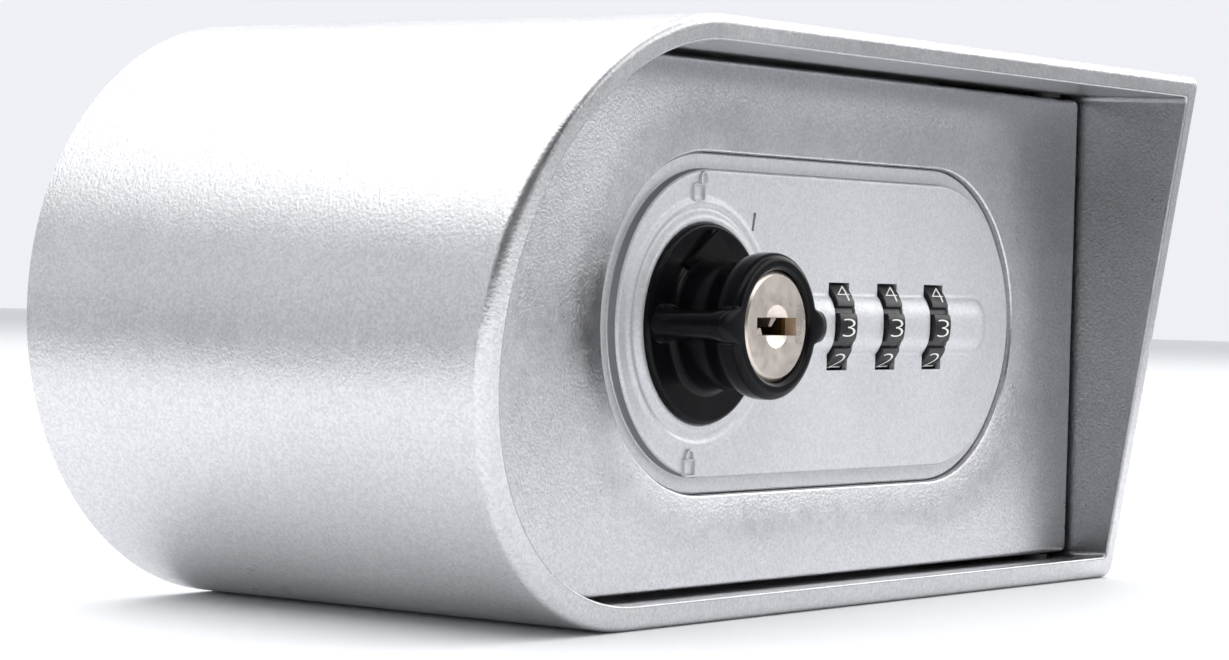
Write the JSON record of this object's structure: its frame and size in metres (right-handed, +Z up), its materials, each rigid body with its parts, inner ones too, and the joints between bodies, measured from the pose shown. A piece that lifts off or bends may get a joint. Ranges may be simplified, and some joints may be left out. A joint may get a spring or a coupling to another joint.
{
  "type": "key lock box",
  "caption": "Wall-mounted key lock box with a D-shaped body, rain hood, hinged door, rotating number wheels and a turn knob with key override.",
  "frame": {"origin": "centre of the bounding box at the underside", "axes": "+Z up, -Y out of the door towards the user, +X towards the hinge side"},
  "size_m": [0.17, 0.0856, 0.08],
  "materials": {
    "body_coat": "fine-textured silver powder coat over cast zinc",
    "door_coat": "fine-textured silver powder coat",
    "panel_coat": "fine-textured silver powder coat",
    "zinc_plate": "zinc-plated pressed steel",
    "screw_steel": "zinc-plated steel",
    "hook_steel": "nickel-plated steel wire",
    "pin_steel": "ground steel",
    "spring_steel": "blued spring steel",
    "bolt_steel": "brushed steel",
    "housing_cast": "plain die casting, matte",
    "seal_rubber": "matte black rubber",
    "mat_rubber": "ribbed black rubber",
    "nylon": "black acetal",
    "knob_black": "satin black moulding",
    "plug_nickel": "nickel-plated, fine brushed face",
    "brass": "plain machined brass",
    "wheel_black": "satin black with white printed digits"
  },
  "bodies": {
    "box": {"shell": "body_coat", "door_stop": "housing_cast", "plate_posts": "housing_cast", "back_plate": "zinc_plate", "back_plate_screws": "screw_steel", "strike_plate": "zinc_plate", "strike_screws": "screw_steel", "door_seal": "seal_rubber", "floor_mat": "mat_rubber", "key_hook_rail": "zinc_plate", "key_hooks": "hook_steel", "hook_rail_screws": "screw_steel", "hinge_pin": "pin_steel", "hinge_washers": "nylon"},
    "door": {"door": "door_coat", "lock_panel": "panel_coat", "lock_housing": "housing_cast", "housing_screws": "screw_steel", "rear_cover": "zinc_plate", "cover_screws": "screw_steel", "wheel_axle": "pin_steel", "detent_spring": "spring_steel", "detent_rivets": "pin_steel", "bolt_guides": "zinc_plate", "bolt_guide_screws": "screw_steel"},
    "knob": {"knob": "knob_black", "plug_sleeve": "brass", "knob_spindle": "pin_steel", "wave_washer": "spring_steel", "spindle_clip": "spring_steel", "bolt_crank": "pin_steel"},
    "plug": {"key_plug": "plug_nickel", "plug_wafers": "brass", "plug_tail": "brass"},
    "wheel_1": {"wheel_1": "wheel_black", "code_disc_1": "brass"},
    "wheel_2": {"wheel_2": "wheel_black", "code_disc_2": "brass"},
    "wheel_3": {"wheel_3": "wheel_black", "code_disc_3": "brass"},
    "bolt": {"lock_bolt": "bolt_steel", "locking_comb": "brass", "comb_rivets": "pin_steel"}
  },
  "joints": [
    {"name": "door_swing", "type": "hinge", "parent": "box", "child": "door", "pos_m": [0.0751, -0.01975, 0.04], "axis": [0, 0, 1], "range_deg": [0, 90]},
    {"name": "knob_turn", "type": "hinge", "parent": "door", "child": "knob", "pos_m": [-0.0225, -0.02275, 0.04], "axis": [0, -1, 0], "range_deg": [-45, 180]},
    {"name": "plug_turn", "type": "hinge", "parent": "knob", "child": "plug", "pos_m": [-0.0225, -0.02275, 0.04], "axis": [0, 1, 0], "range_deg": [0, 90]},
    {"name": "wheel_1_turn", "type": "hinge", "parent": "door", "child": "wheel_1", "pos_m": [0.0119, -0.01665, 0.04], "axis": [1, 0, 0], "continuous": true},
    {"name": "wheel_2_turn", "type": "hinge", "parent": "door", "child": "wheel_2", "pos_m": [0.0249, -0.01665, 0.04], "axis": [1, 0, 0], "continuous": true},
    {"name": "wheel_3_turn", "type": "hinge", "parent": "door", "child": "wheel_3", "pos_m": [0.0379, -0.01665, 0.04], "axis": [1, 0, 0], "continuous": true},
    {"name": "bolt_slide", "type": "slide", "parent": "door", "child": "bolt", "axis": [-1, 0, 0], "range_m": [-0.00112, 0.0045]}
  ],
  "couplings": [
    {"joint": "bolt_slide", "follows": "knob_turn", "m_per_rad": 0.0014324}
  ]
}
